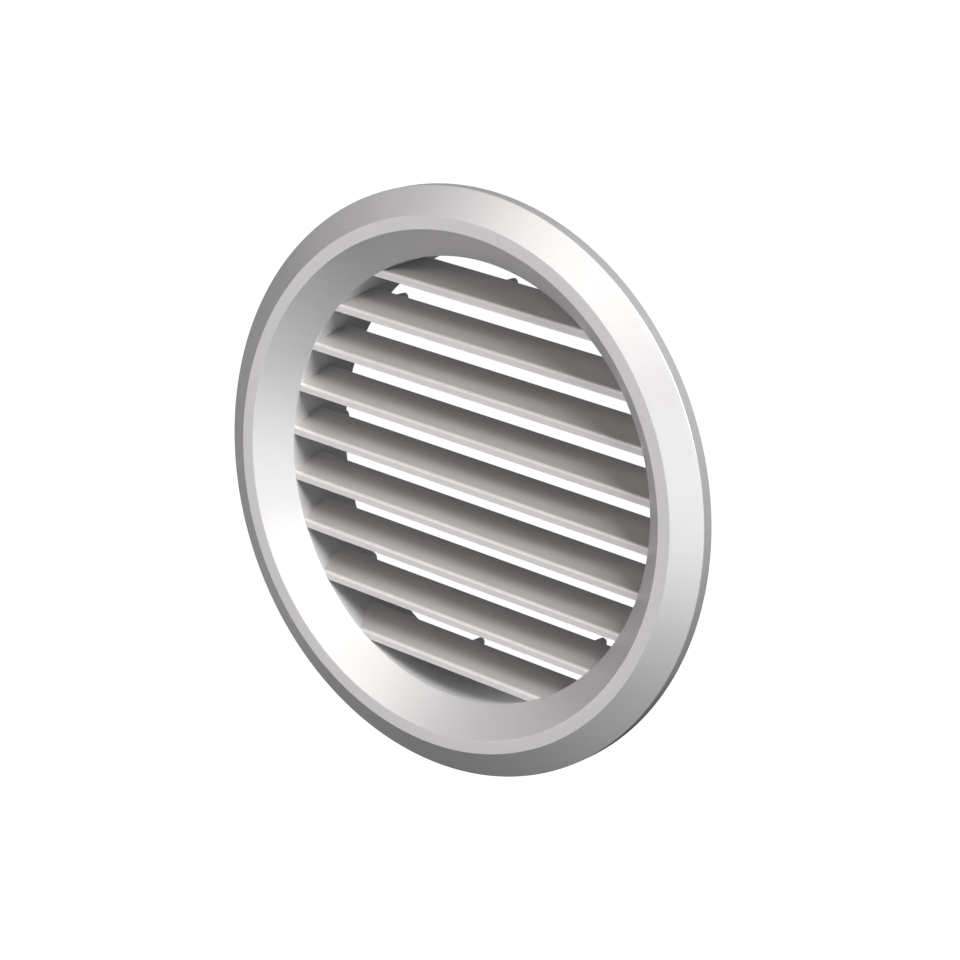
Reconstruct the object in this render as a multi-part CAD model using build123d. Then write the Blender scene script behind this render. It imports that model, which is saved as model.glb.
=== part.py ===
"""Round nine-blade air diffuser on a duct spigot, held by three sprung clips.

Frame: the flange's back, which bears on the wall or ceiling lining, is the plane Y = 0.
The origin is on the axis in that plane, the face looks towards -Y, the blades run
along X and +Z is up. All lengths are in millimetres, all angles in degrees.
"""
import math
import os

from build123d import *

# Flange
FLANGE_R = 75.0
RIM_DEPTH = 3.3
CREST_OUTER_R = 68.0
CREST_INNER_R = 64.65
CREST_Y = -7.4
THROAT_R = 57.0
THROAT_Y = 0.15
LIP_END_Y = 1.4
BEZEL_WALL = 1.8
EDGE_ROUND = 0.3
THROAT_ROUND = 0.3

# Locating rib, which centres the flange in a 125 mm duct
DUCT_R = 62.5
RIB_R = DUCT_R - 1.0
RIB_END_Y = 6.0

# Blade carrier, the tube that reaches into the duct
CARRIER_R = 58.0
CARRIER_WALL = 1.0
CARRIER_BORE_R = CARRIER_R - CARRIER_WALL
CARRIER_END_Y = 20.7
SLIP_GAP = 0.05

# Blades
BLADE_COUNT = 9
BLADE_PITCH = 12.0
MIDDLE_BLADE_Z = -1.0
BLADE_DEPTH = 10.1
BLADE_RISE = 4.14
NOSE_BELOW = 1.84
NOSE_ABOVE = 0.3
NOSE_ROUND = 0.55
REAR_THICKNESS = 1.45
TENON_END_R = CARRIER_R - 0.1
TENON_Y = LIP_END_Y + 0.2
SHOULDER_R = CARRIER_BORE_R - 0.1

# Screen pegs on the blades' rear edges
PEG_R = 1.15
PEG_CIRCLE_R = 51.05
PEG_DROP = 1.4
PEG_END_Y = 13.7
PEGGED_BLADES = {1: "middle", 2: "ends", 5: "ends", 8: "ends", 9: "middle"}

# Foam gasket in the flange's hollow
GASKET_INNER_R = 65.5
GASKET_GAP = 0.1

# Countersunk screws through the rib into the carrier
SCREW_ANGLES = (45, 135, 225, 315)
SCREW_Y = 3.4
SCREW_SHANK_R = 1.25
SCREW_HEAD_R = 2.2
SCREW_HEAD_DEPTH = 1.3
SCREW_HEAD_EDGE = 0.2
SCREW_TOP_R = RIB_R - 0.2
SCREW_END_R = CARRIER_BORE_R + 0.1
CROSS_LENGTH = 2.7
CROSS_WIDTH = 0.5
CROSS_DEPTH = 0.7

# Sprung clips; each is made at the top of the carrier and turned to its place
CLIP_TURNS = {"top": 0, "right": 120, "left": 240}
PIVOT_Y = 16.6
PIVOT_R = 59.9
OPEN_ANGLE = 29.0
BASE_TOP_R = 58.5
BASE_START_Y = 10.6
BASE_END_Y = 19.6
EAR_INSIDE = 4.6
EAR_OUTSIDE = 5.4
EAR_FOOT_HALF = 2.1
KNUCKLE_R = 1.25
KNUCKLE_INSIDE = 1.6
ARM_HALF_WIDTH = 4.4
ARM_THICKNESS = 0.6
ARM_REACH = 8.2
CURL_R = 0.7
PIN_R = 0.7
PIN_BORE_R = 0.75
PIN_HEAD_R = 1.05
PIN_HEAD = 0.5
WIRE_R = 0.25
COIL_R = 1.05
COIL_TURNS = 5
COIL_STEP = 0.46
LEG_REACH = 5.5
RIVET_X = 3.0
RIVET_Y = 12.6
RIVET_R = 0.8
RIVET_HEAD_R = 1.4
RIVET_HEAD = 0.45
RIVET_BEVEL = 0.2


def face(*points):
    """Flat face with straight sides through the points."""
    return make_face(Polyline(*points, close=True))


def spun(*points):
    """Solid of revolution about Y of the outline given as (radius, y) points."""
    return revolve(face(*points), Axis.Y)


def rounded(sketch, corner, radius):
    """The sketch with its vertex nearest the corner rounded."""
    vertex = sketch.vertices().sort_by_distance(corner)[0]
    return fillet(vertex, radius)


def rod(start, end, radius):
    """Straight round rod between two points."""
    axis = Vector(*end) - Vector(*start)
    plane = Plane(origin=start, z_dir=axis)
    return plane * Cylinder(radius, axis.length, align=(Align.CENTER, Align.CENTER, Align.MIN))


def on_axis(radius):
    """Long round bar on the grille's axis, for cutting."""
    return rod((0, -FLANGE_R, 0), (0, FLANGE_R, 0), radius)


def turned_about_axis(shape, angle):
    """The shape turned about the grille's axis, from the top towards +X."""
    return shape.rotate(Axis.Y, angle)


def blade_z(number):
    """Height of a blade's bright front edge; blade 1 is the top one."""
    middle = (BLADE_COUNT + 1) / 2
    return MIDDLE_BLADE_Z + (middle - number) * BLADE_PITCH


def front_bezel():
    """Hollow flange: rim, outer cone, crest, inner cone, throat lip and locating rib."""
    rim = (FLANGE_R, -RIM_DEPTH)
    crest_outer = (CREST_OUTER_R, CREST_Y)
    crest_inner = (CREST_INNER_R, CREST_Y)
    throat = (THROAT_R, THROAT_Y)
    seat_r = CARRIER_R + SLIP_GAP
    cone_slope = (THROAT_Y - CREST_Y) / (THROAT_R - CREST_INNER_R)
    cone_back = BEZEL_WALL * math.hypot(1, cone_slope)
    rib_base_y = CREST_Y + (RIB_R - CREST_INNER_R) * cone_slope + cone_back
    crest_back_y = CREST_Y + BEZEL_WALL
    inner_corner_r = CREST_INNER_R + (BEZEL_WALL - cone_back) / cone_slope
    outer_slope = (-RIM_DEPTH - CREST_Y) / (FLANGE_R - CREST_OUTER_R)
    outer_back = BEZEL_WALL * math.hypot(1, outer_slope)
    outer_corner_r = CREST_OUTER_R + (BEZEL_WALL - outer_back) / outer_slope
    rim_inner_r = FLANGE_R - BEZEL_WALL
    rim_corner_y = CREST_Y + (rim_inner_r - CREST_OUTER_R) * outer_slope + outer_back
    outline = face(
        (FLANGE_R, 0),
        rim,
        crest_outer,
        crest_inner,
        throat,
        (THROAT_R, LIP_END_Y),
        (seat_r, LIP_END_Y),
        (seat_r, RIB_END_Y),
        (RIB_R, RIB_END_Y),
        (RIB_R, rib_base_y),
        (inner_corner_r, crest_back_y),
        (outer_corner_r, crest_back_y),
        (rim_inner_r, rim_corner_y),
        (rim_inner_r, 0),
    )
    for corner in (rim, crest_outer, crest_inner):
        outline = rounded(outline, corner, EDGE_ROUND)
    outline = rounded(outline, throat, THROAT_ROUND)
    body = revolve(outline, Axis.Y)
    for angle in SCREW_ANGLES:
        body -= turned_about_axis(screw_body(SLIP_GAP, RIB_R + 1), angle)
    return body


def blade_section(number, grow=0.0):
    """Blade's section in the YZ plane: upright nose, sloping web and thin rear edge."""
    z = blade_z(number)
    rear_y = THROAT_Y + BLADE_DEPTH
    nose_top = (THROAT_Y, z + NOSE_ABOVE)
    outline = face(
        (THROAT_Y, z - NOSE_BELOW),
        nose_top,
        (rear_y, z + BLADE_RISE),
        (rear_y, z + BLADE_RISE - REAR_THICKNESS),
    )
    outline = rounded(outline, nose_top, NOSE_ROUND)
    if grow:
        outline = offset(outline, grow)
    return outline


def blade_web(number, grow=0.0):
    """The section carried along X past both sides of the carrier."""
    section = Plane.YZ * blade_section(number, grow)
    return extrude(section, CARRIER_R + 1, both=True)


def pegs(number):
    """Round pegs that stand back from the blade's rear edge to carry an insect screen."""
    z = blade_z(number) + BLADE_RISE - PEG_DROP
    start_y = THROAT_Y + BLADE_DEPTH - 0.5
    reach = math.sqrt(PEG_CIRCLE_R**2 - z**2)
    places = (0,) if PEGGED_BLADES[number] == "middle" else (-reach, reach)
    return [rod((x, start_y, z), (x, PEG_END_Y, z), PEG_R) for x in places]


def blade(number):
    """One blade: it fills the throat and its tenons reach through the carrier's slots."""
    envelope = spun(
        (0, 0),
        (SHOULDER_R, 0),
        (SHOULDER_R, TENON_Y),
        (TENON_END_R, TENON_Y),
        (TENON_END_R, CARRIER_END_Y),
        (0, CARRIER_END_Y),
    )
    solid = blade_web(number) & envelope
    if number in PEGGED_BLADES:
        for peg in pegs(number):
            solid += peg
    return solid


def blade_carrier():
    """Tube with blade slots open at its front edge, which the bezel's lip closes."""
    start_y = LIP_END_Y + SLIP_GAP
    rear_edge = (CARRIER_R, CARRIER_END_Y)
    wall = face(
        (CARRIER_BORE_R, start_y),
        (CARRIER_R, start_y),
        rear_edge,
        (CARRIER_BORE_R, CARRIER_END_Y),
    )
    body = revolve(rounded(wall, rear_edge, EDGE_ROUND), Axis.Y)
    for number in range(1, BLADE_COUNT + 1):
        body -= blade_web(number, SLIP_GAP)
    for angle in SCREW_ANGLES:
        body -= turned_about_axis(screw_body(), angle)
    for turn in CLIP_TURNS.values():
        for side in (-1, 1):
            body -= turned_about_axis(rivet_shank(side), turn)
    return body


def wall_gasket():
    """Closed-cell foam ring that fills the flange's hollow and seals on the lining."""
    outer_slope = (-RIM_DEPTH - CREST_Y) / (FLANGE_R - CREST_OUTER_R)
    outer_back = (BEZEL_WALL + GASKET_GAP) * math.hypot(1, outer_slope)
    front_y = CREST_Y + BEZEL_WALL + GASKET_GAP
    corner_r = CREST_OUTER_R + (front_y - CREST_Y - outer_back) / outer_slope
    outer_r = FLANGE_R - BEZEL_WALL - GASKET_GAP
    outer_y = CREST_Y + (outer_r - CREST_OUTER_R) * outer_slope + outer_back
    return spun(
        (GASKET_INNER_R, front_y),
        (corner_r, front_y),
        (outer_r, outer_y),
        (outer_r, 0),
        (GASKET_INNER_R, 0),
    )


def screw_body(gap=0.0, top_r=SCREW_TOP_R):
    """Countersunk screw's outer shape at the top of the rib, pointing at the axis."""
    outline = face(
        (0, SCREW_END_R),
        (SCREW_SHANK_R + gap, SCREW_END_R),
        (SCREW_SHANK_R + gap, SCREW_TOP_R - SCREW_HEAD_DEPTH),
        (SCREW_HEAD_R + gap, SCREW_TOP_R - SCREW_HEAD_EDGE),
        (SCREW_HEAD_R + gap, top_r),
        (0, top_r),
    )
    return Pos(0, SCREW_Y, 0) * revolve(Plane.XZ * outline, Axis.Z)


def carrier_screws():
    """Four screws with cross recesses."""
    cross = Box(CROSS_LENGTH, CROSS_WIDTH, 2 * CROSS_DEPTH) + Box(CROSS_WIDTH, CROSS_LENGTH, 2 * CROSS_DEPTH)
    screw = screw_body() - Pos(0, SCREW_Y, SCREW_TOP_R) * cross
    return [turned_about_axis(screw, angle) for angle in SCREW_ANGLES]


def rivet_shank(side):
    """Rivet's shank, a little longer than the stack of carrier and base."""
    x = side * RIVET_X
    return rod((x, RIVET_Y, CARRIER_BORE_R - 0.3), (x, RIVET_Y, BASE_TOP_R), RIVET_R)


def rivet(side):
    """Rivet with a bevelled head on the bracket's base and an end flush in the bore."""
    x = side * RIVET_X
    foot = (x, RIVET_Y, BASE_TOP_R - RIVET_HEAD)
    head = rod(foot, (x, RIVET_Y, BASE_TOP_R + RIVET_HEAD), RIVET_HEAD_R)
    head = chamfer(head.edges().sort_by(Axis.Z)[-1], RIVET_BEVEL)
    bore = on_axis(CARRIER_BORE_R + SLIP_GAP)
    base = on_axis(BASE_TOP_R)
    return (rivet_shank(side) - bore) + (head - base)


def bracket_rivets():
    """Two rivets for each bracket."""
    return [turned_about_axis(rivet(side), turn) for turn in CLIP_TURNS.values() for side in (-1, 1)]


def clip_bracket():
    """Base plate curved to the carrier, with two ears that hold the pin."""
    shell = spun(
        (CARRIER_R, BASE_START_Y),
        (BASE_TOP_R, BASE_START_Y),
        (BASE_TOP_R, BASE_END_Y),
        (CARRIER_R, BASE_END_Y),
    )
    middle_y = (BASE_START_Y + BASE_END_Y) / 2
    length = BASE_END_Y - BASE_START_Y
    solid = shell & (Pos(0, middle_y, CARRIER_R) * Box(2 * EAR_OUTSIDE, length, 4))
    foot_z = CARRIER_R + 0.1
    ear = face(
        (PIVOT_Y - EAR_FOOT_HALF, foot_z),
        (PIVOT_Y - KNUCKLE_R, PIVOT_R),
        (PIVOT_Y + KNUCKLE_R, PIVOT_R),
        (PIVOT_Y + EAR_FOOT_HALF, foot_z),
    )
    ear += Pos(PIVOT_Y, PIVOT_R) * Circle(KNUCKLE_R)
    ear -= Pos(PIVOT_Y, PIVOT_R) * Circle(PIN_R)
    for inner_x in (-EAR_OUTSIDE, EAR_INSIDE):
        solid += Pos(inner_x, 0, 0) * extrude(Plane.YZ * ear, EAR_OUTSIDE - EAR_INSIDE)
    for side in (-1, 1):
        solid -= rivet_shank(side)
    return solid


def on_pivot(start_x, end_x, radius):
    """Straight round rod on the clip's pivot axis."""
    return rod((start_x, PIVOT_Y, PIVOT_R), (end_x, PIVOT_Y, PIVOT_R), radius)


def clip_pin():
    """Hinge pin, headed at both ends once it is through the ears."""
    end_x = EAR_OUTSIDE + PIN_HEAD
    pin = on_pivot(-EAR_OUTSIDE, EAR_OUTSIDE, PIN_R)
    pin += on_pivot(-end_x, -EAR_OUTSIDE, PIN_HEAD_R)
    pin += on_pivot(EAR_OUTSIDE, end_x, PIN_HEAD_R)
    return pin


def opened(shape):
    """The shape swung about the pin from folded flat to the free, open position."""
    return shape.rotate(Axis((0, PIVOT_Y, PIVOT_R), (1, 0, 0)), -OPEN_ANGLE)


def clip_arm():
    """Leaf with two knuckles on the pin and a tip curled in towards the carrier."""
    tip_y = PIVOT_Y - ARM_REACH
    straight = Line((PIVOT_Y, PIVOT_R), (tip_y, PIVOT_R))
    curl = CenterArc((tip_y, PIVOT_R - CURL_R), CURL_R, 90, 140)
    leaf = extrude(Plane.YZ * trace(straight + curl, ARM_THICKNESS), ARM_HALF_WIDTH, both=True)
    leaf -= Pos(0, PIVOT_Y, PIVOT_R) * Box(2 * KNUCKLE_INSIDE, 4, 4)
    leaf += on_pivot(-ARM_HALF_WIDTH, -KNUCKLE_INSIDE, KNUCKLE_R)
    leaf += on_pivot(KNUCKLE_INSIDE, ARM_HALF_WIDTH, KNUCKLE_R)
    leaf -= on_pivot(-EAR_OUTSIDE, EAR_OUTSIDE, PIN_BORE_R)
    return opened(leaf)


def clip_spring():
    """Torsion spring: close-wound coil, one leg on the base and one under the leaf."""
    half = (COIL_TURNS - 1) / 2
    wires = [Pos((turn - half) * COIL_STEP, COIL_R) * Circle(WIRE_R) for turn in range(COIL_TURNS)]
    section = wires[0]
    for wire in wires[1:]:
        section += wire
    coil = Pos(0, PIVOT_Y, PIVOT_R) * revolve(section, Axis.X)
    end_x = half * COIL_STEP
    base_leg = rod(
        (end_x, PIVOT_Y, PIVOT_R - COIL_R),
        (end_x, PIVOT_Y - LEG_REACH, BASE_TOP_R + WIRE_R + 0.05),
        WIRE_R,
    )
    under_leaf = PIVOT_R - ARM_THICKNESS / 2 - WIRE_R - 0.05
    leaf_leg = rod(
        (-end_x, PIVOT_Y, PIVOT_R - COIL_R),
        (-end_x, PIVOT_Y - LEG_REACH, under_leaf),
        WIRE_R,
    )
    return coil + base_leg + opened(leaf_leg)


def save(name, shape):
    """Writes one node, a single solid or a group of separate solids."""
    if isinstance(shape, list):
        shape = Compound(children=shape)
    export_step(shape, f"parts/{name}.step")


def main():
    os.makedirs("parts", exist_ok=True)
    save("front_bezel", front_bezel())
    save("blade_carrier", blade_carrier())
    for number in range(1, BLADE_COUNT + 1):
        save(f"blade_{number}", blade(number))
    save("wall_gasket", wall_gasket())
    save("carrier_screws", carrier_screws())
    save("bracket_rivets", bracket_rivets())
    pieces = {
        "clip_bracket": clip_bracket(),
        "clip_pin": clip_pin(),
        "clip_arm": clip_arm(),
        "clip_spring": clip_spring(),
    }
    for place, turn in CLIP_TURNS.items():
        for piece, shape in pieces.items():
            save(f"{piece}_{place}", turned_about_axis(shape, turn))


main()
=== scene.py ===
import math

import bmesh
import bpy
import numpy as np
from mathutils import Matrix, Vector


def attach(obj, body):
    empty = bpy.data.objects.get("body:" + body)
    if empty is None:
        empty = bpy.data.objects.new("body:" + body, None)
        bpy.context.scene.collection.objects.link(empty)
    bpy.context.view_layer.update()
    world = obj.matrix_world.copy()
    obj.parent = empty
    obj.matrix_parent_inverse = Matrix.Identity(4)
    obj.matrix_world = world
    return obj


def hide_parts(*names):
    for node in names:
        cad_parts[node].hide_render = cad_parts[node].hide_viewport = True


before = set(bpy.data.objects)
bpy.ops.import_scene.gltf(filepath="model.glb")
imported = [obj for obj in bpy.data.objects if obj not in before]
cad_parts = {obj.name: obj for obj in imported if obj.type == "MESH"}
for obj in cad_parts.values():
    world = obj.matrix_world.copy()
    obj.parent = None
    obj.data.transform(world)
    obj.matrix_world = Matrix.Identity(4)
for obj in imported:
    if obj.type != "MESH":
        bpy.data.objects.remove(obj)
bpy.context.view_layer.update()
scene = bpy.context.scene
mm = 0.001
tau = 2 * math.pi
clipTurns = {"top": 0, "right": 120, "left": 240}     # degrees from the top towards +X


# Quads between neighbouring lines of a grid of points. Each row closes on itself; the rows do too where they
# are wrapped, and have one face over each end otherwise. Six times the enclosed volume is the sum of
# a . (b x c) over the faces, and where it is negative every face is turned round, so that all of them point
# outwards. The marks, each with a value for every column, become attributes that the paint reads.
def gridMesh(name, grid, wrapRows=False, marks=None):
    rows, columns = grid.shape[:2]
    index = np.arange(rows * columns).reshape(rows, columns)
    here = index if wrapRows else index[:-1]
    below = np.roll(index, -1, axis=0) if wrapRows else index[1:]
    quads = np.stack([here, np.roll(here, -1, 1), np.roll(below, -1, 1), below], axis=-1)
    quads = quads.reshape(-1, 4)
    points = grid.reshape(-1, 3)
    a, b, c, d = (points[quads[:, corner]] for corner in range(4))
    volume = np.sum(a * (np.cross(b, c) + np.cross(c, d)))
    loops, totals = quads.ravel(), np.full(len(quads), 4)
    if not wrapRows:
        for ring in (index[0][::-1], index[-1]):
            fan = points[ring]
            volume += np.sum(np.cross(fan[1:-1], fan[2:]) @ fan[0])
            loops = np.concatenate([loops, ring])
            totals = np.append(totals, columns)
    starts = np.cumsum(totals) - totals
    if volume < 0:
        loops = np.concatenate([face[::-1] for face in np.split(loops, starts[1:])])
    mesh = bpy.data.meshes.new(name)
    mesh.vertices.add(len(points))
    mesh.vertices.foreach_set("co", points.astype(np.float32).ravel())
    mesh.loops.add(len(loops))
    mesh.loops.foreach_set("vertex_index", loops.astype(np.int32))
    mesh.polygons.add(len(totals))
    mesh.polygons.foreach_set("loop_start", starts.astype(np.int32))
    mesh.polygons.foreach_set("loop_total", totals.astype(np.int32))
    mesh.update(calc_edges=True)
    mesh.validate()
    for key, values in (marks or {}).items():
        layer = mesh.attributes.new(key, "FLOAT", "POINT")
        everyPoint = np.broadcast_to(values, (rows, columns)).astype(np.float32)
        layer.data.foreach_set("value", everyPoint.ravel())
    return mesh


# One piece from one or several meshes: smooth shaded, with an edge kept sharp where its faces meet at more
# than the angle, riding on its body and standing for its CAD node.
def makePiece(name, meshes, material, body, node, sharpAngle=35):
    obj = bpy.data.objects.new(name, meshes[0])
    if len(meshes) > 1:
        whole = bmesh.new()
        for mesh in meshes:
            whole.from_mesh(mesh)
        whole.to_mesh(meshes[0])
        whole.free()
    mesh = obj.data
    mesh.polygons.foreach_set("use_smooth", np.ones(len(mesh.polygons), bool))
    mesh.set_sharp_from_angle(angle=math.radians(sharpAngle))
    mesh.materials.append(material)
    scene.collection.objects.link(obj)
    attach(obj, body)
    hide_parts(node)
    return obj


# Closed outline with round corners: each corner gives way to an arc tangent to both its sides, swept in
# equal steps about the centre that lies on the corner's bisector; a corner with no radius stays a point.
def roundCorners(points, radii, steps=8):
    points = np.array(points, float)
    neighbours = np.roll(points, 1, 0), np.roll(points, -1, 0)
    outline = []
    for corner, before, after, radius in zip(points, *neighbours, radii):
        if radius == 0:
            outline.append(corner[None])
            continue
        back = (before - corner) / np.linalg.norm(before - corner)
        ahead = (after - corner) / np.linalg.norm(after - corner)
        half = math.acos(np.clip(back @ ahead, -1, 1)) / 2
        bisector = (back + ahead) / np.linalg.norm(back + ahead)
        centre = corner + bisector * radius / math.sin(half)
        first = corner + back * radius / math.tan(half) - centre
        last = corner + ahead * radius / math.tan(half) - centre
        turn = np.linspace(0, 1, steps + 1)[:, None]
        sweep = math.pi - 2 * half
        arc = first * np.sin((1 - turn) * sweep) + last * np.sin(turn * sweep)
        outline.append(centre + arc / math.sin(sweep))
    return np.concatenate(outline)


# The closed outline with extra points along its long sides, none further apart than the step.
def refine(outline, step):
    after = np.roll(outline, -1, 0)
    counts = np.maximum(1, np.ceil(np.linalg.norm(after - outline, axis=1) / step)).astype(int)
    parts = [a + (b - a) * np.arange(n)[:, None] / n for a, b, n in zip(outline, after, counts)]
    return np.concatenate(parts)


# How much of an edge each point of a closed outline is: the turn towards the inside over the mean length of
# its two sides is the curvature, and times the radius it is 0 on a flat and 1 on an edge rounded by that.
def edgeValues(outline, radius=0.3):
    ahead = np.roll(outline, -1, 0) - outline
    back = outline - np.roll(outline, 1, 0)
    across = back[:, 0] * ahead[:, 1] - back[:, 1] * ahead[:, 0]
    turn = np.arctan2(across, np.sum(back * ahead, axis=1))
    length = (np.linalg.norm(ahead, axis=1) + np.linalg.norm(back, axis=1)) / 2
    return np.clip(np.sign(turn.sum()) * turn / length * radius, 0, 1)


# Solid of revolution about Y: the (radius, y) outline at each angle, x = r cos a and z = r sin a.
def spinGrid(outline, angles):
    radius, along = outline[:, 0], outline[:, 1]
    return np.stack([
        np.cos(angles)[:, None] * radius,
        np.broadcast_to(along, (len(angles), len(along))),
        np.sin(angles)[:, None] * radius], axis=-1)


# A closed (sideways, upwards) outline carried along a path: each point of the path, plus the outline's first
# number times the sideways vector there, plus its second times the upwards vector.
def sweepGrid(path, sideways, upwards, outline):
    out, up = outline[:, 0, None], outline[:, 1, None]
    return path[:, None] + sideways[:, None] * out + upwards[:, None] * up


# Points of a circle in equal steps, (r cos a, r sin a).
def circleOutline(radius, steps):
    angle = np.arange(steps) * tau / steps
    return radius * np.stack([np.cos(angle), np.sin(angle)], axis=-1)


# Points turned about the grille's axis by an angle in degrees, from the top towards +X.
def turnAboutAxis(points, degrees):
    c, s = math.cos(math.radians(degrees)), math.sin(math.radians(degrees))
    x, y, z = points[..., 0], points[..., 1], points[..., 2]
    return np.stack([c * x + s * z, y, c * z - s * x], axis=-1)


# Short hand for a material's node tree: add() makes a node and sets or joins its inputs, by name or, as i0,
# i1 and so on, by number; to() joins a socket to the shader; mix(), math() and bump() are the nodes that it
# uses most.
class Nodes:
    def __init__(self, name):
        self.material = bpy.data.materials.new(name)
        self.material.use_nodes = True
        self.tree = self.material.node_tree
        self.shader = self.tree.nodes["Principled BSDF"]
        self.place = self.add("ShaderNodeTexCoord").outputs["Object"]

    def add(self, kind, settings=None, **inputs):
        node = self.tree.nodes.new(kind)
        for key, value in (settings or {}).items():
            setattr(node, key, value)
        for key, value in inputs.items():
            numbered = key[0] == "i" and key[1:].isdigit()
            socket = node.inputs[int(key[1:]) if numbered else key.replace("_", " ")]
            if isinstance(value, bpy.types.NodeSocket):
                self.tree.links.new(value, socket)
            else:
                socket.default_value = value
        return node

    def to(self, source, socket):
        self.tree.links.new(source, self.shader.inputs[socket])

    def mix(self, factor, first, second, blend="MIX"):
        kind = dict(data_type="RGBA", blend_type=blend)
        return self.add("ShaderNodeMix", kind, Factor=factor, i6=first, i7=second).outputs[2]

    def math(self, operation, first, second, clamp=False):
        kind = dict(operation=operation, use_clamp=clamp)
        return self.add("ShaderNodeMath", kind, i0=first, i1=second).outputs[0]

    def bump(self, height, strength, distance):
        node = self.add("ShaderNodeBump", Strength=strength, Distance=distance * mm, Height=height)
        self.to(node.outputs[0], "Normal")


# Noise of a given size in millimetres, as a value about 0.5.
def grain(nodes, size, detail):
    scale = 1 / (size * mm)
    return nodes.add("ShaderNodeTexNoise", Vector=nodes.place, Scale=scale, Detail=detail).outputs["Fac"]


# A colour made darker or lighter, with its alpha.
def shade(colour, factor):
    return [min(1, factor * c) for c in colour] + [1]


# A value moved from the first range, 0..1 unless given, to low..high, and kept inside it.
def spread(nodes, value, low, high, fromLow=0.0, fromHigh=1.0):
    return nodes.add("ShaderNodeMapRange", i0=value, i1=fromLow, i2=fromHigh, i3=low, i4=high).outputs[0]


silver = dict(
    colour=(0.60, 0.60, 0.60),
    metallic=0.48, roughness=0.45,
    cloud=28, tint=0.02, roughnessDrift=0.03,     # slow drift: size in mm, in colour, in roughness
    peel=1.6, peelHeight=0.006, peelStrength=0.6,  # orange peel: size and height in mm
    flake=0.16, flakeLift=0.05,                   # metal flakes: size in mm, lighter and darker by
    wearPatch=2.5, wearFrom=0.42, wearTo=0.6,     # rubbed patches: size in mm, where in the noise they are
    edgeWearAndHighlight=0.08, wearSmooth=0.10,              # rubbed edges, on the blades a painted highlight: brighter and smoother by
    evenWearAndHighlight=0.0,                                 # how much of the rub and painted highlight is the same all along the edge
    paintedShadeDark=0.25,                                # how much darker the painted shade is, on the rim's side and behind the noses
)


# Satin coat: colour drift in clouds, metal flakes and orange peel, a patchy rub along the outer edges, on
# the blades an even painted highlight along them, and painted shade, a darker colour on the rim's side and
# behind the blades' noses.
def silverPaint(name, settings):
    n = Nodes(name)
    cloud = grain(n, settings["cloud"], 3)
    flakes = grain(n, settings["flake"], 1)
    light = shade(settings["colour"], 1 + settings["tint"])
    dark = shade(settings["colour"], 1 - settings["tint"])
    drift = n.mix(cloud, dark, light)
    onEdge = n.add("ShaderNodeAttribute", dict(attribute_name="edge")).outputs["Fac"]
    wearNoise = grain(n, settings["wearPatch"], 4)
    patches = spread(n, wearNoise, settings["evenWearAndHighlight"], 1, settings["wearFrom"], settings["wearTo"])
    # the rub along the edges; on the blades it is even and bright, a painted highlight
    wearAndHighlight = n.math("MULTIPLY", onEdge, patches)
    flakeLift = spread(n, flakes, 1 - settings["flakeLift"], 1 + settings["flakeLift"], 0.3, 0.7)
    wearAndHighlightLift = spread(n, wearAndHighlight, 1, 1 + settings["edgeWearAndHighlight"])
    # painted shade: a darker colour on the rim's side and just behind the blades' noses
    shadeMask = n.add("ShaderNodeAttribute", dict(attribute_name="paintedShade")).outputs["Fac"]
    paintedShadeLift = spread(n, shadeMask, 1, 1 - settings["paintedShadeDark"])
    shadeWearAndHighlightLift = n.math("MULTIPLY", paintedShadeLift, wearAndHighlightLift)
    lift = n.math("MULTIPLY", flakeLift, shadeWearAndHighlightLift)
    grey = n.add("ShaderNodeCombineColor", i0=lift, i1=lift, i2=lift).outputs[0]
    n.to(n.mix(1.0, drift, grey, "MULTIPLY"), "Base Color")
    rough = spread(n, cloud, settings["roughness"] - settings["roughnessDrift"],
                   settings["roughness"] + settings["roughnessDrift"], 0.3, 0.7)
    rubbed = spread(n, wearAndHighlight, 0, settings["wearSmooth"])
    n.to(n.math("SUBTRACT", rough, rubbed), "Roughness")
    n.shader.inputs["Metallic"].default_value = settings["metallic"]
    n.bump(grain(n, settings["peel"], 2), settings["peelStrength"], settings["peelHeight"])
    return n.material


barStock = dict(
    zinc=(0.62, 0.63, 0.62), spring=(0.36, 0.37, 0.39), rivet=(0.72, 0.72, 0.73),
    zincRoughness=0.34, springRoughness=0.28, rivetRoughness=0.38,
    streak=0.25, stretch=8, streakDepth=0.01,     # rolling streaks: size in mm, how stretched, depth in mm
    streakSmooth=0.08, streakRough=0.10,          # smoother and rougher by, along the streaks
    streakStrength=0.25,
    spot=1.8, spotDark=0.82, spotLight=1.1,       # stained spots: size in mm, darker and lighter by
    edgeLight=0.35, edgeFrom=0.52, edgeTo=0.7,    # edges: lighter by, and how pointed they have to be
)


# Bare or plated metal: rolling streaks in the roughness and a stained tone that is lighter along the edges.
def barMetal(name, colour, roughness):
    n = Nodes(name)
    stock = barStock
    stretched = n.add("ShaderNodeMapping", Vector=n.place, Scale=(1, stock["stretch"], 1)).outputs[0]
    streakScale = 1 / (stock["streak"] * mm)
    streaks = n.add("ShaderNodeTexNoise", Vector=stretched, Scale=streakScale, Detail=3).outputs["Fac"]
    spots = grain(n, stock["spot"], 4)
    pointed = n.add("ShaderNodeNewGeometry").outputs["Pointiness"]
    edge = spread(n, pointed, 0, stock["edgeLight"], stock["edgeFrom"], stock["edgeTo"])
    lighter = n.math("ADD", spots, edge, True)
    tone = n.mix(lighter, shade(colour, stock["spotDark"]), shade(colour, stock["spotLight"]))
    n.to(tone, "Base Color")
    smooth, rough = roughness - stock["streakSmooth"], roughness + stock["streakRough"]
    n.to(spread(n, streaks, smooth, rough, 0.3, 0.7), "Roughness")
    n.shader.inputs["Metallic"].default_value = 1.0
    n.bump(streaks, stock["streakStrength"], stock["streakDepth"])
    return n.material


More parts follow.
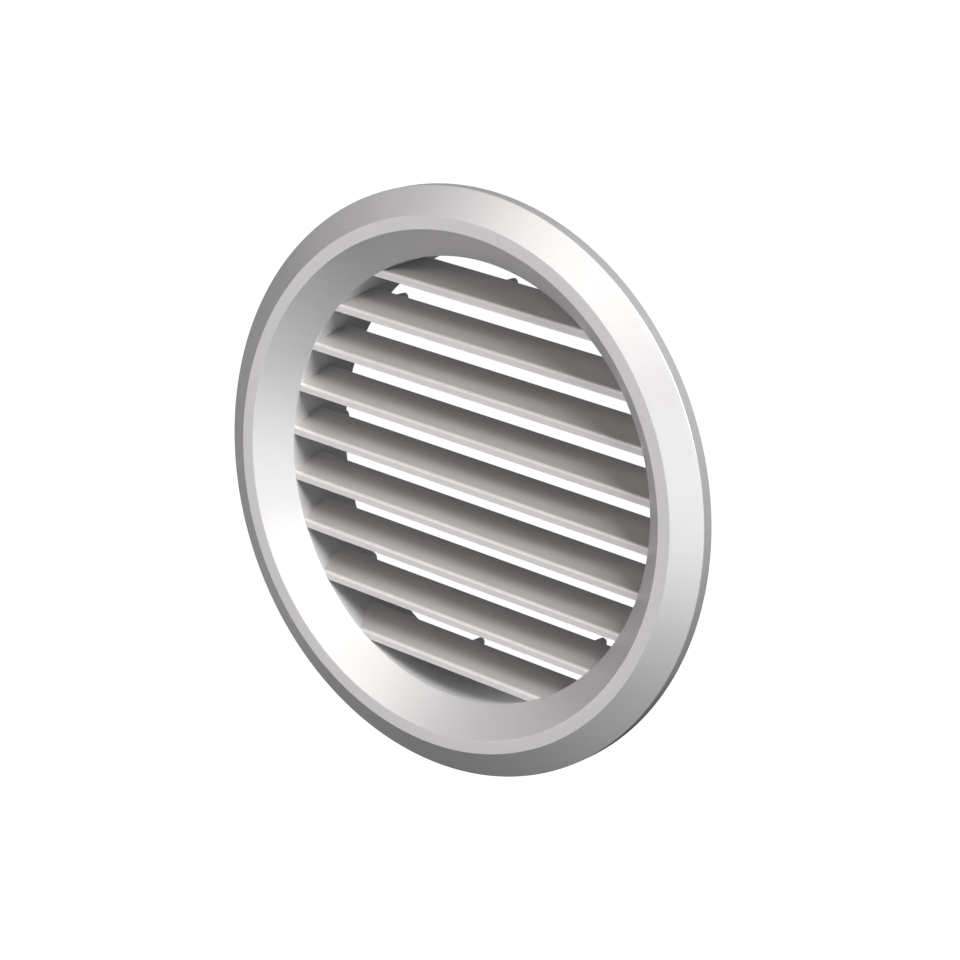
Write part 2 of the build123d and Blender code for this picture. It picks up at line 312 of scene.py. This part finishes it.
foam = dict(
    colour=(0.030, 0.031, 0.033),
    cell=0.55, cellDepth=0.12, cellStrength=0.8,  # cells: size and depth in mm
    roughMiddle=0.95, roughWall=0.8,              # roughness in a cell's middle and on its wall
    patch=9, patchDark=0.7, patchLight=1.5,       # worn patches: size in mm, darker and lighter by
)


# Closed-cell foam: rounded cells in the bump and roughness, and a tone that drifts in patches.
def foamRubber(name, settings):
    n = Nodes(name)
    cellScale = 1 / (settings["cell"] * mm)
    cells = n.add("ShaderNodeTexVoronoi", Vector=n.place, Scale=cellScale).outputs["Distance"]
    dark = shade(settings["colour"], settings["patchDark"])
    light = shade(settings["colour"], settings["patchLight"])
    n.to(n.mix(grain(n, settings["patch"], 3), dark, light), "Base Color")
    n.to(spread(n, cells, settings["roughMiddle"], settings["roughWall"]), "Roughness")
    n.bump(cells, settings["cellStrength"], settings["cellDepth"])
    return n.material


bezelPaint = silverPaint("bezelPaint", silver)
# blades: the edge rub made bright and even all along, a painted highlight on the noses' rounded edges
warmSilver = dict(silver, colour=(0.65, 0.638, 0.63), edgeWearAndHighlight=0.55, wearSmooth=0.12, evenWearAndHighlight=0.7)
bladePaint = silverPaint("bladePaint", warmSilver)
carrierPaint = silverPaint("carrierPaint", silver)
zincSteel = barMetal("zincSteel", barStock["zinc"], barStock["zincRoughness"])
springSteel = barMetal("springSteel", barStock["spring"], barStock["springRoughness"])
rivetAluminium = barMetal("rivetAluminium", barStock["rivet"], barStock["rivetRoughness"])
gasketFoam = foamRubber("gasketFoam", foam)
print("finishes made")


bezel = dict(
    flangeR=75.0, rimDepth=3.3, crestOuterR=68.0, crestInnerR=64.65, crestY=-7.4,
    throatR=57.0, throatY=0.15, lipEndY=1.45, wall=1.8,
    seatR=58.05, ribR=61.5, ribEndY=6.0,
    rimRound=0.3, crestRound=0.3, throatRound=0.3, lipRound=0.1, ribRound=0.35, rootRound=0.5, backRound=0.8,
    steps=360, outlineStep=1.5,
    screwAngles=(45, 135, 225, 315), screwY=3.4,
    sinkR=2.28, sinkRim=0.4, sinkSlope=1.1, sinkDepth=1.6,  # countersinks
    sinkStep=0.14, sinkMargin=0.15, sinkTurns=36,           # the finer grid in and around them
)


# The bezel's closed outline: outer skin with rounded edges, and behind it the same lines moved in by the
# wall, which along the axis is the wall times sqrt(1 + slope^2).
def bezelOutline(b):
    innerSlope = (b["throatY"] - b["crestY"]) / (b["throatR"] - b["crestInnerR"])
    outerSlope = (-b["rimDepth"] - b["crestY"]) / (b["flangeR"] - b["crestOuterR"])
    innerBack = b["wall"] * math.hypot(1, innerSlope)
    outerBack = b["wall"] * math.hypot(1, outerSlope)
    rimR = b["flangeR"] - b["wall"]
    backY = b["crestY"] + b["wall"]
    points = [
        (b["flangeR"], 0),
        (b["flangeR"], -b["rimDepth"]),
        (b["crestOuterR"], b["crestY"]),
        (b["crestInnerR"], b["crestY"]),
        (b["throatR"], b["throatY"]),
        (b["throatR"], b["lipEndY"]),
        (b["seatR"], b["lipEndY"]),
        (b["seatR"], b["ribEndY"]),
        (b["ribR"], b["ribEndY"]),
        (b["ribR"], b["crestY"] + (b["ribR"] - b["crestInnerR"]) * innerSlope + innerBack),
        (b["crestInnerR"] + (b["wall"] - innerBack) / innerSlope, backY),
        (b["crestOuterR"] + (b["wall"] - outerBack) / outerSlope, backY),
        (rimR, b["crestY"] + (rimR - b["crestOuterR"]) * outerSlope + outerBack),
        (rimR, 0),
    ]
    radii = [
        b["rimRound"], b["rimRound"], b["crestRound"], b["crestRound"], b["throatRound"],
        b["lipRound"], 0, b["ribRound"], b["ribRound"], b["rootRound"],
        b["backRound"], b["backRound"], b["backRound"], b["rimRound"],
    ]
    return roundCorners(points, radii)


# Revolved outline; on the rib a countersink goes in at each screw: within the sink radius the surface drops
# by the sink's rim plus the slope times (sink radius - distance), and no deeper than the sink's depth. The
# angles and the outline have extra lines there.
def makeBezel(b):
    outline = refine(bezelOutline(b), b["outlineStep"])
    onRib = (outline[:, 0] > b["ribR"] - 0.01) & (outline[:, 1] > 0)
    sinkStart, sinkEnd = b["screwY"] - b["sinkR"], b["screwY"] + b["sinkR"]
    fineY = np.arange(sinkStart - b["sinkMargin"], sinkEnd + b["sinkMargin"], b["sinkStep"])
    firstOn = np.argmax(onRib)
    ribEdge = outline[:firstOn + 1]
    rest = outline[firstOn:][outline[firstOn:, 1] < sinkStart - 0.2]
    finePart = np.stack([np.full(len(fineY), b["ribR"]), fineY[::-1]], axis=-1)
    outline = np.concatenate([ribEdge, finePart, rest])
    angles = np.arange(b["steps"]) * tau / b["steps"]
    span = math.degrees((b["sinkR"] + 2 * b["sinkMargin"]) / b["ribR"])
    for angle in b["screwAngles"]:
        fine = np.linspace(angle - span, angle + span, b["sinkTurns"])
        angles = np.append(angles, np.radians(fine))
    angles = np.unique(np.round(angles, 6))
    grid = spinGrid(outline, angles)
    isRib = (np.abs(outline[:, 0] - b["ribR"]) < 0.01)[None]
    for angle in b["screwAngles"]:
        around = (angles - math.radians(angle))[:, None] * b["ribR"]
        distance = np.hypot(around, outline[None, :, 1] - b["screwY"])
        sink = np.minimum(b["sinkRim"] + b["sinkSlope"] * (b["sinkR"] - distance), b["sinkDepth"])
        sink = np.where((distance < b["sinkR"]) & isRib, sink, 0)
        scale = 1 - sink / b["ribR"]
        grid[..., 0] *= scale
        grid[..., 2] *= scale
    # painted shade on the rim's side
    rimShade = (outline[:, 0] > b["flangeR"] - 0.01).astype(float)
    mesh = gridMesh("frontBezel", grid * mm, True, dict(edge=edgeValues(outline), paintedShade=rimShade))
    makePiece("frontBezel", [mesh], bezelPaint, "grille", "front_bezel", 50)


makeBezel(bezel)
print("bezel made")


blades = dict(
    count=9, pitch=12.0, middleZ=-1.0, frontY=0.15, depth=10.1, rise=4.14,
    below=1.84, above=0.3, rear=1.45, noseRound=0.65, edgeRound=0.3,
    shoulderR=56.98, tenonR=57.9, shoulderY=1.6,
    cornerSteps=10, sectionStep=0.5, columns=33,
    shadeBehindNose=0.95,                                # painted shade just behind the nose, 0 to 1
    pegR=1.15, pegCircle=51.05, pegDrop=1.4, pegEnd=13.7, pegRound=0.3,
    pegRoot=0.5, pegStraight=2, pegFlat=0.4, pegSides=40, pegSteps=8,
    pegged={1: "middle", 2: "ends", 5: "ends", 8: "ends", 9: "middle"},
)


def bladeZ(b, number):
    return b["middleZ"] + ((b["count"] + 1) / 2 - number) * b["pitch"]


# The section goes round the nose, web and rear edge; each of its points runs along X between the throat's
# walls, x = u sqrt(R^2 - z^2) with u from -1 to 1, and R steps out behind the lip, where the tenons start.
# Painted shade is darkest just behind the nose and fades evenly to nothing at the rear edge.
def bladeMesh(b, number):
    z = bladeZ(b, number)
    rearY = b["frontY"] + b["depth"]
    corners = [
        (b["frontY"], z - b["below"]),
        (rearY, z + b["rise"] - b["rear"]),
        (rearY, z + b["rise"]),
        (b["frontY"], z + b["above"]),
    ]
    radii = [b["edgeRound"], b["edgeRound"], b["edgeRound"], b["noseRound"]]
    section = refine(roundCorners(corners, radii, b["cornerSteps"]), b["sectionStep"])
    y, height = section[:, 0], section[:, 1]
    reachR = np.where(y < b["shoulderY"], b["shoulderR"], b["tenonR"])
    ends = np.sqrt(reachR**2 - height**2)
    u = np.linspace(-1, 1, b["columns"])[:, None]
    grid = np.stack(np.broadcast_arrays(u * ends, y, height), axis=-1)
    behind = (y - b["frontY"]) / b["depth"]
    # painted shade, darkest just behind the nose and fading to the rear edge
    shadeMask = np.where(y > b["frontY"] + b["noseRound"], b["shadeBehindNose"] * (1 - behind), 0)
    return gridMesh(f"blade{number}", grid * mm, marks=dict(edge=edgeValues(section), paintedShade=shadeMask))


# A peg is a short spin about its own axis: straight side, then a quarter circle round the end's edge.
def pegMesh(b, x, z):
    turn = np.linspace(0, math.pi / 2, b["pegSteps"])
    roundR = b["pegR"] - b["pegRound"] * (1 - np.cos(turn))
    roundY = b["pegEnd"] - b["pegRound"] * (1 - np.sin(turn))
    startY = b["frontY"] + b["depth"] - b["pegRoot"]
    radius = np.concatenate([[b["pegR"], b["pegR"]], roundR, [b["pegR"] * b["pegFlat"]]])[:, None]
    along = np.concatenate([[startY, startY + b["pegStraight"]], roundY, [b["pegEnd"]]])[:, None]
    aside, above = circleOutline(1, b["pegSides"]).T
    grid = np.stack(np.broadcast_arrays(x + radius * aside, along, z + radius * above), axis=-1)
    return gridMesh("peg", grid * mm)


def makeBlade(b, number):
    meshes = [bladeMesh(b, number)]
    if number in b["pegged"]:
        z = bladeZ(b, number) + b["rise"] - b["pegDrop"]
        reach = math.sqrt(b["pegCircle"]**2 - z**2)
        for x in ([0] if b["pegged"][number] == "middle" else [-reach, reach]):
            meshes.append(pegMesh(b, x, z))
    makePiece(f"blade{number}", meshes, bladePaint, "grille", f"blade_{number}", 40)


for number in range(1, blades["count"] + 1):
    makeBlade(blades, number)
print("blades made")


# Exact normals for a part turned about Y: where a face looks along the radius, each of its corners takes its
# own radius (x, 0, z) / sqrt(x^2 + z^2) as its normal, outwards or inwards; the other corners keep theirs.
def radialNormals(mesh):
    points = np.empty((len(mesh.vertices), 3), np.float32)
    mesh.vertices.foreach_get("co", points.ravel())
    corners = np.empty(len(mesh.loops), np.int32)
    mesh.loops.foreach_get("vertex_index", corners)
    normals = np.empty((len(mesh.loops), 3), np.float32)
    mesh.corner_normals.foreach_get("vector", normals.ravel())
    flat = np.empty((len(mesh.polygons), 3), np.float32)
    mesh.polygons.foreach_get("normal", flat.ravel())
    totals = np.empty(len(mesh.polygons), np.int32)
    mesh.polygons.foreach_get("loop_total", totals)
    radial = points[corners] * np.array([1, 0, 1], np.float32)
    radial /= np.linalg.norm(radial, axis=1)[:, None]
    facing = np.sum(np.repeat(flat, totals, axis=0) * radial, axis=1)
    isRound = np.abs(facing) > 0.98
    normals[isRound] = radial[isRound] * np.sign(facing[isRound])[:, None]
    mesh.normals_split_custom_set(normals.tolist())


copies = dict(mergeWithin=0.002, flatAngle=0.5, sharpAngle=30, bevel=0.08, screwBevel=0.06)  # mm, degrees


# A CAD node's loose triangles merged into one skin, with narrow bevels on its sharp edges.
def mergedCopy(node, name, material, body, bevel=copies["bevel"]):
    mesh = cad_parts[node].data.copy()
    mesh.materials.clear()
    merged = bmesh.new()
    merged.from_mesh(mesh)
    bmesh.ops.remove_doubles(merged, verts=merged.verts, dist=copies["mergeWithin"] * mm)
    flat = math.radians(copies["flatAngle"])
    bmesh.ops.dissolve_limit(merged, angle_limit=flat, verts=merged.verts, edges=merged.edges)
    merged.to_mesh(mesh)
    merged.free()
    obj = makePiece(name, [mesh], material, body, node, copies["sharpAngle"])
    if bevel:
        edges = obj.modifiers.new("edges", "BEVEL")
        edges.width = bevel * mm
        edges.segments = 2
        edges.limit_method = "ANGLE"
        edges.angle_limit = math.radians(copies["sharpAngle"])
        edges.use_clamp_overlap = True
        edges.harden_normals = True
    return obj


carrier = mergedCopy("blade_carrier", "bladeCarrier", carrierPaint, "grille", 0)
radialNormals(carrier.data)
mergedCopy("carrier_screws", "carrierScrews", zincSteel, "grille", copies["screwBevel"])
mergedCopy("bracket_rivets", "bracketRivets", rivetAluminium, "grille", 0)
for place in clipTurns:
    mergedCopy(f"clip_bracket_{place}", f"clipBracket_{place}", zincSteel, "grille")
    mergedCopy(f"clip_pin_{place}", f"clipPin_{place}", zincSteel, "grille")
    mergedCopy(f"clip_arm_{place}", f"clipArm_{place}", springSteel, f"clip_{place}")
print("carrier and clips made")


gasket = dict(
    innerR=65.5, outerR=73.1, frontY=-5.45, crestR=67.2, outerY=-2.1,
    edgeRound=0.4, backRound=0.5, outlineStep=0.6, steps=300,
    swell=0.12, waves=((9, 1), (23, 0), (41, 2)),  # uneven back: mm, and the count and shift of each wave
)


# Foam ring: the hollow's outline revolved; its back face sinks by swell (1/2 + w/6), where w is the sum of
# the waves sin(count a + shift) round the ring, and this fades to nothing at the front.
def makeGasket(g):
    corners = [
        (g["innerR"], g["frontY"]),
        (g["innerR"], 0),
        (g["outerR"], 0),
        (g["outerR"], g["outerY"]),
        (g["crestR"], g["frontY"]),
    ]
    radii = [g["edgeRound"], g["backRound"], g["backRound"], g["edgeRound"], g["edgeRound"]]
    outline = refine(roundCorners(corners, radii), g["outlineStep"])
    angles = np.arange(g["steps"]) * tau / g["steps"]
    grid = spinGrid(outline, angles)
    wave = sum(np.sin(count * angles + shift) for count, shift in g["waves"])
    lean = np.clip(outline[:, 1] / -g["frontY"] + 1, 0, 1)
    grid[..., 1] -= g["swell"] * (0.5 + wave[:, None] / 6) * lean
    mesh = gridMesh("wallGasket", grid * mm, True)
    makePiece("wallGasket", [mesh], gasketFoam, "grille", "wall_gasket")


makeGasket(gasket)
print("gasket made")


spring = dict(
    pivotY=16.6, pivotR=59.9, openAngle=29.0, coilR=1.05, wireR=0.25, turns=3, pitch=0.52,
    legReach=5.5, baseTopR=58.5, leafHalf=0.3, clear=0.05, bend=0.3,
    overlap=30.0, slimmer=0.98,                   # the leaf's leg inside the coil: degrees, its thickness
    sides=12, coilSteps=150, legSteps=12, bendSteps=8,
)


# A round wire along a path: at each point two vectors across the path's direction, one of them square to X.
def wireMesh(name, path, radius, sides):
    along = np.gradient(path, axis=0)
    along /= np.linalg.norm(along, axis=1)[:, None]
    sideways = np.cross(along, [1.0, 0.0, 0.0])
    sideways /= np.linalg.norm(sideways, axis=1)[:, None]
    upwards = np.cross(along, sideways)
    return gridMesh(name, sweepGrid(path, sideways, upwards, circleOutline(radius, sides)))


# Points of a helix about the pin: at the angle a from under the pin, towards the duct, y = r sin a,
# z = -r cos a, and x moves back from its start by the pitch for each turn.
def coilPoints(s, startX, angle):
    x = startX - s["pitch"] * angle / tau
    return np.stack([x, s["coilR"] * np.sin(angle), -s["coilR"] * np.cos(angle)], axis=-1)


# The coil starts under the pin with a straight leg forward to the base. It ends at the front of the pin,
# where the second leg takes over, bends forward by a quarter circle and lies under the leaf, so that it
# turns with the arm.
def makeSpring(s, place, turn):
    pivot = np.array([0, s["pivotY"], s["pivotR"]])
    opened = math.radians(s["openAngle"])
    lastAngle = s["turns"] * tau + 1.5 * math.pi - opened
    startX = s["pitch"] * lastAngle / tau / 2
    node = f"clip_spring_{place}"
    coil = pivot + coilPoints(s, startX, np.linspace(0, lastAngle, s["coilSteps"]))
    foot = np.array([startX, s["pivotY"] - s["legReach"], s["baseTopR"] + s["wireR"] + s["clear"]])
    leg = coil[0] + (foot - coil[0]) * np.linspace(1, 0, s["legSteps"])[:, None]
    path = turnAboutAxis(np.concatenate([leg[:-1], coil]), turn)
    mesh = wireMesh(f"clipSpring_{place}", path * mm, s["wireR"] * mm, s["sides"])
    makePiece(f"clipSpring_{place}", [mesh], springSteel, "grille", node)

    # worked out with the leaf folded flat, then opened about the pin
    under = s["leafHalf"] + s["wireR"] + s["clear"]
    firstAngle = lastAngle + opened - math.radians(s["overlap"])
    arc = coilPoints(s, startX, np.linspace(firstAngle, lastAngle + opened, s["bendSteps"]))
    quarter = np.linspace(0, math.pi / 2, s["bendSteps"])
    corner = np.stack([
        np.full(s["bendSteps"], arc[-1, 0]),
        -s["coilR"] - s["bend"] * (1 - np.cos(quarter)),
        -under + s["bend"] * (1 - np.sin(quarter))], axis=-1)
    straight = np.stack([
        np.full(s["legSteps"], arc[-1, 0]),
        np.linspace(corner[-1, 1], -s["legReach"], s["legSteps"] + 1)[1:],
        np.full(s["legSteps"], -under)], axis=-1)
    flat = np.concatenate([arc[:-1], corner, straight])
    c, k = math.cos(opened), -math.sin(opened)
    x, y, z = flat.T
    path = turnAboutAxis(pivot + np.stack([x, c * y - k * z, k * y + c * z], axis=-1), turn)
    mesh = wireMesh(f"clipSpringLeg_{place}", path * mm, s["slimmer"] * s["wireR"] * mm, s["sides"])
    makePiece(f"clipSpringLeg_{place}", [mesh], springSteel, f"clip_{place}", node)


for place, turn in clipTurns.items():
    makeSpring(spring, place, turn)
print("springs made")


studio = dict(
    floorZ=-1.0, floorSize=60.0, floorColour=(0.86, 0.86, 0.86), floorRoughness=0.9,
    skyLight=0.04,                                # soft light from all round
    lampDistance=1.2,                             # metres
)

# azimuth and elevation of each lamp seen from the grille, its size in metres, its watts and its colour
lamps = dict(
    keyLamp=(70, 44, 0.5, 25.8, (1.0, 0.984, 0.974)),
    topLamp=(-10, 38, 0.8, 4.7, (1.0, 0.965, 0.95)),
    frontLamp=(35, -8, 0.8, 3.5, (0.97, 0.96, 1.0)),
    leftLamp=(-45, -8, 0.8, 1.7, (1.0, 0.956, 0.96)),
    sideLamp=(-75, -25, 0.8, 0.9, (1.0, 0.97, 0.98)),
    lowLamp=(-30, -30, 0.8, 1.5, (0.99, 0.95, 1.0)),
    backLamp=(180, 0, 0.8, 2.8, (1.0, 1.0, 1.0)),
    backFill=(-150, -5, 0.8, 1.2, (1.0, 1.0, 1.0)),
)


# Unit vector towards an azimuth, counted from -Y towards +X, and an elevation above the level.
def direction(azimuth, elevation):
    a, e = math.radians(azimuth), math.radians(elevation)
    return Vector((math.sin(a) * math.cos(e), -math.cos(a) * math.cos(e), math.sin(e)))


# A wide, self-lit floor that casts nothing back on the grille, a sky that is bright only to the camera, and
# the lamps.
def makeStudio(s):
    half = s["floorSize"] / 2
    mesh = bpy.data.meshes.new("floor")
    corners = [(-half, -half), (half, -half), (half, half), (-half, half)]
    mesh.from_pydata([(x, y, s["floorZ"]) for x, y in corners], [], [(0, 1, 2, 3)])
    floor = bpy.data.objects.new("floor", mesh)
    scene.collection.objects.link(floor)
    floor.visible_diffuse = False
    floor.visible_glossy = False
    floor.visible_shadow = False
    n = Nodes("paleFloor")
    n.shader.inputs["Base Color"].default_value = (*s["floorColour"], 1)
    n.shader.inputs["Roughness"].default_value = s["floorRoughness"]
    n.shader.inputs["Emission Color"].default_value = (1, 1, 1, 1)
    n.shader.inputs["Emission Strength"].default_value = 1.0
    mesh.materials.append(n.material)
    world = bpy.data.worlds.new("studio")
    world.use_nodes = True
    background = world.node_tree.nodes["Background"]
    seen = world.node_tree.nodes.new("ShaderNodeLightPath").outputs["Is Camera Ray"]
    strength = world.node_tree.nodes.new("ShaderNodeMapRange")
    strength.inputs["To Min"].default_value = s["skyLight"]
    strength.inputs["To Max"].default_value = 1.0
    world.node_tree.links.new(seen, strength.inputs["Value"])
    world.node_tree.links.new(strength.outputs[0], background.inputs["Strength"])
    background.inputs["Color"].default_value = (1, 1, 1, 1)
    scene.world = world
    for name, (azimuth, elevation, size, watts, colour) in lamps.items():
        data = bpy.data.lights.new(name, "AREA")
        data.size = size
        data.energy = watts
        data.color = colour
        obj = bpy.data.objects.new(name, data)
        scene.collection.objects.link(obj)
        obj.location = direction(azimuth, elevation) * s["lampDistance"]
        obj.rotation_euler = (-obj.location).to_track_quat("-Z", "Y").to_euler()
    scene.view_settings.view_transform = "Standard"


makeStudio(studio)


camera = dict(
    azimuth=37.168, elevation=18.796, roll=5.194,
    distance=0.7512, aside=-0.0062, above=-0.00134, frontY=-0.0033,   # metres
    lens=113.29, sensor=36.0, nearest=0.01,
)


# The camera looks back along its azimuth and elevation at the middle of the rim's front edge, rolls about
# that line, and stands at the distance, moved aside and above in its own picture plane.
def makeCamera(c):
    back = direction(c["azimuth"], c["elevation"])
    right = (-back).cross(Vector((0, 0, 1))).normalized()
    up = right.cross(-back)
    roll = math.radians(c["roll"])
    sideways = math.cos(roll) * right + math.sin(roll) * up
    upwards = math.cos(roll) * up - math.sin(roll) * right
    data = bpy.data.cameras.new("camera")
    data.lens = c["lens"]
    data.sensor_width = c["sensor"]
    data.clip_start = c["nearest"]
    obj = bpy.data.objects.new("camera", data)
    scene.collection.objects.link(obj)
    place = back * c["distance"] - sideways * c["aside"] - upwards * c["above"]
    place += Vector((0, c["frontY"], 0))
    turned = Matrix((sideways, upwards, back)).transposed().to_4x4()
    obj.matrix_world = Matrix.Translation(place) @ turned
    scene.camera = obj


makeCamera(camera)
print("studio and camera made")
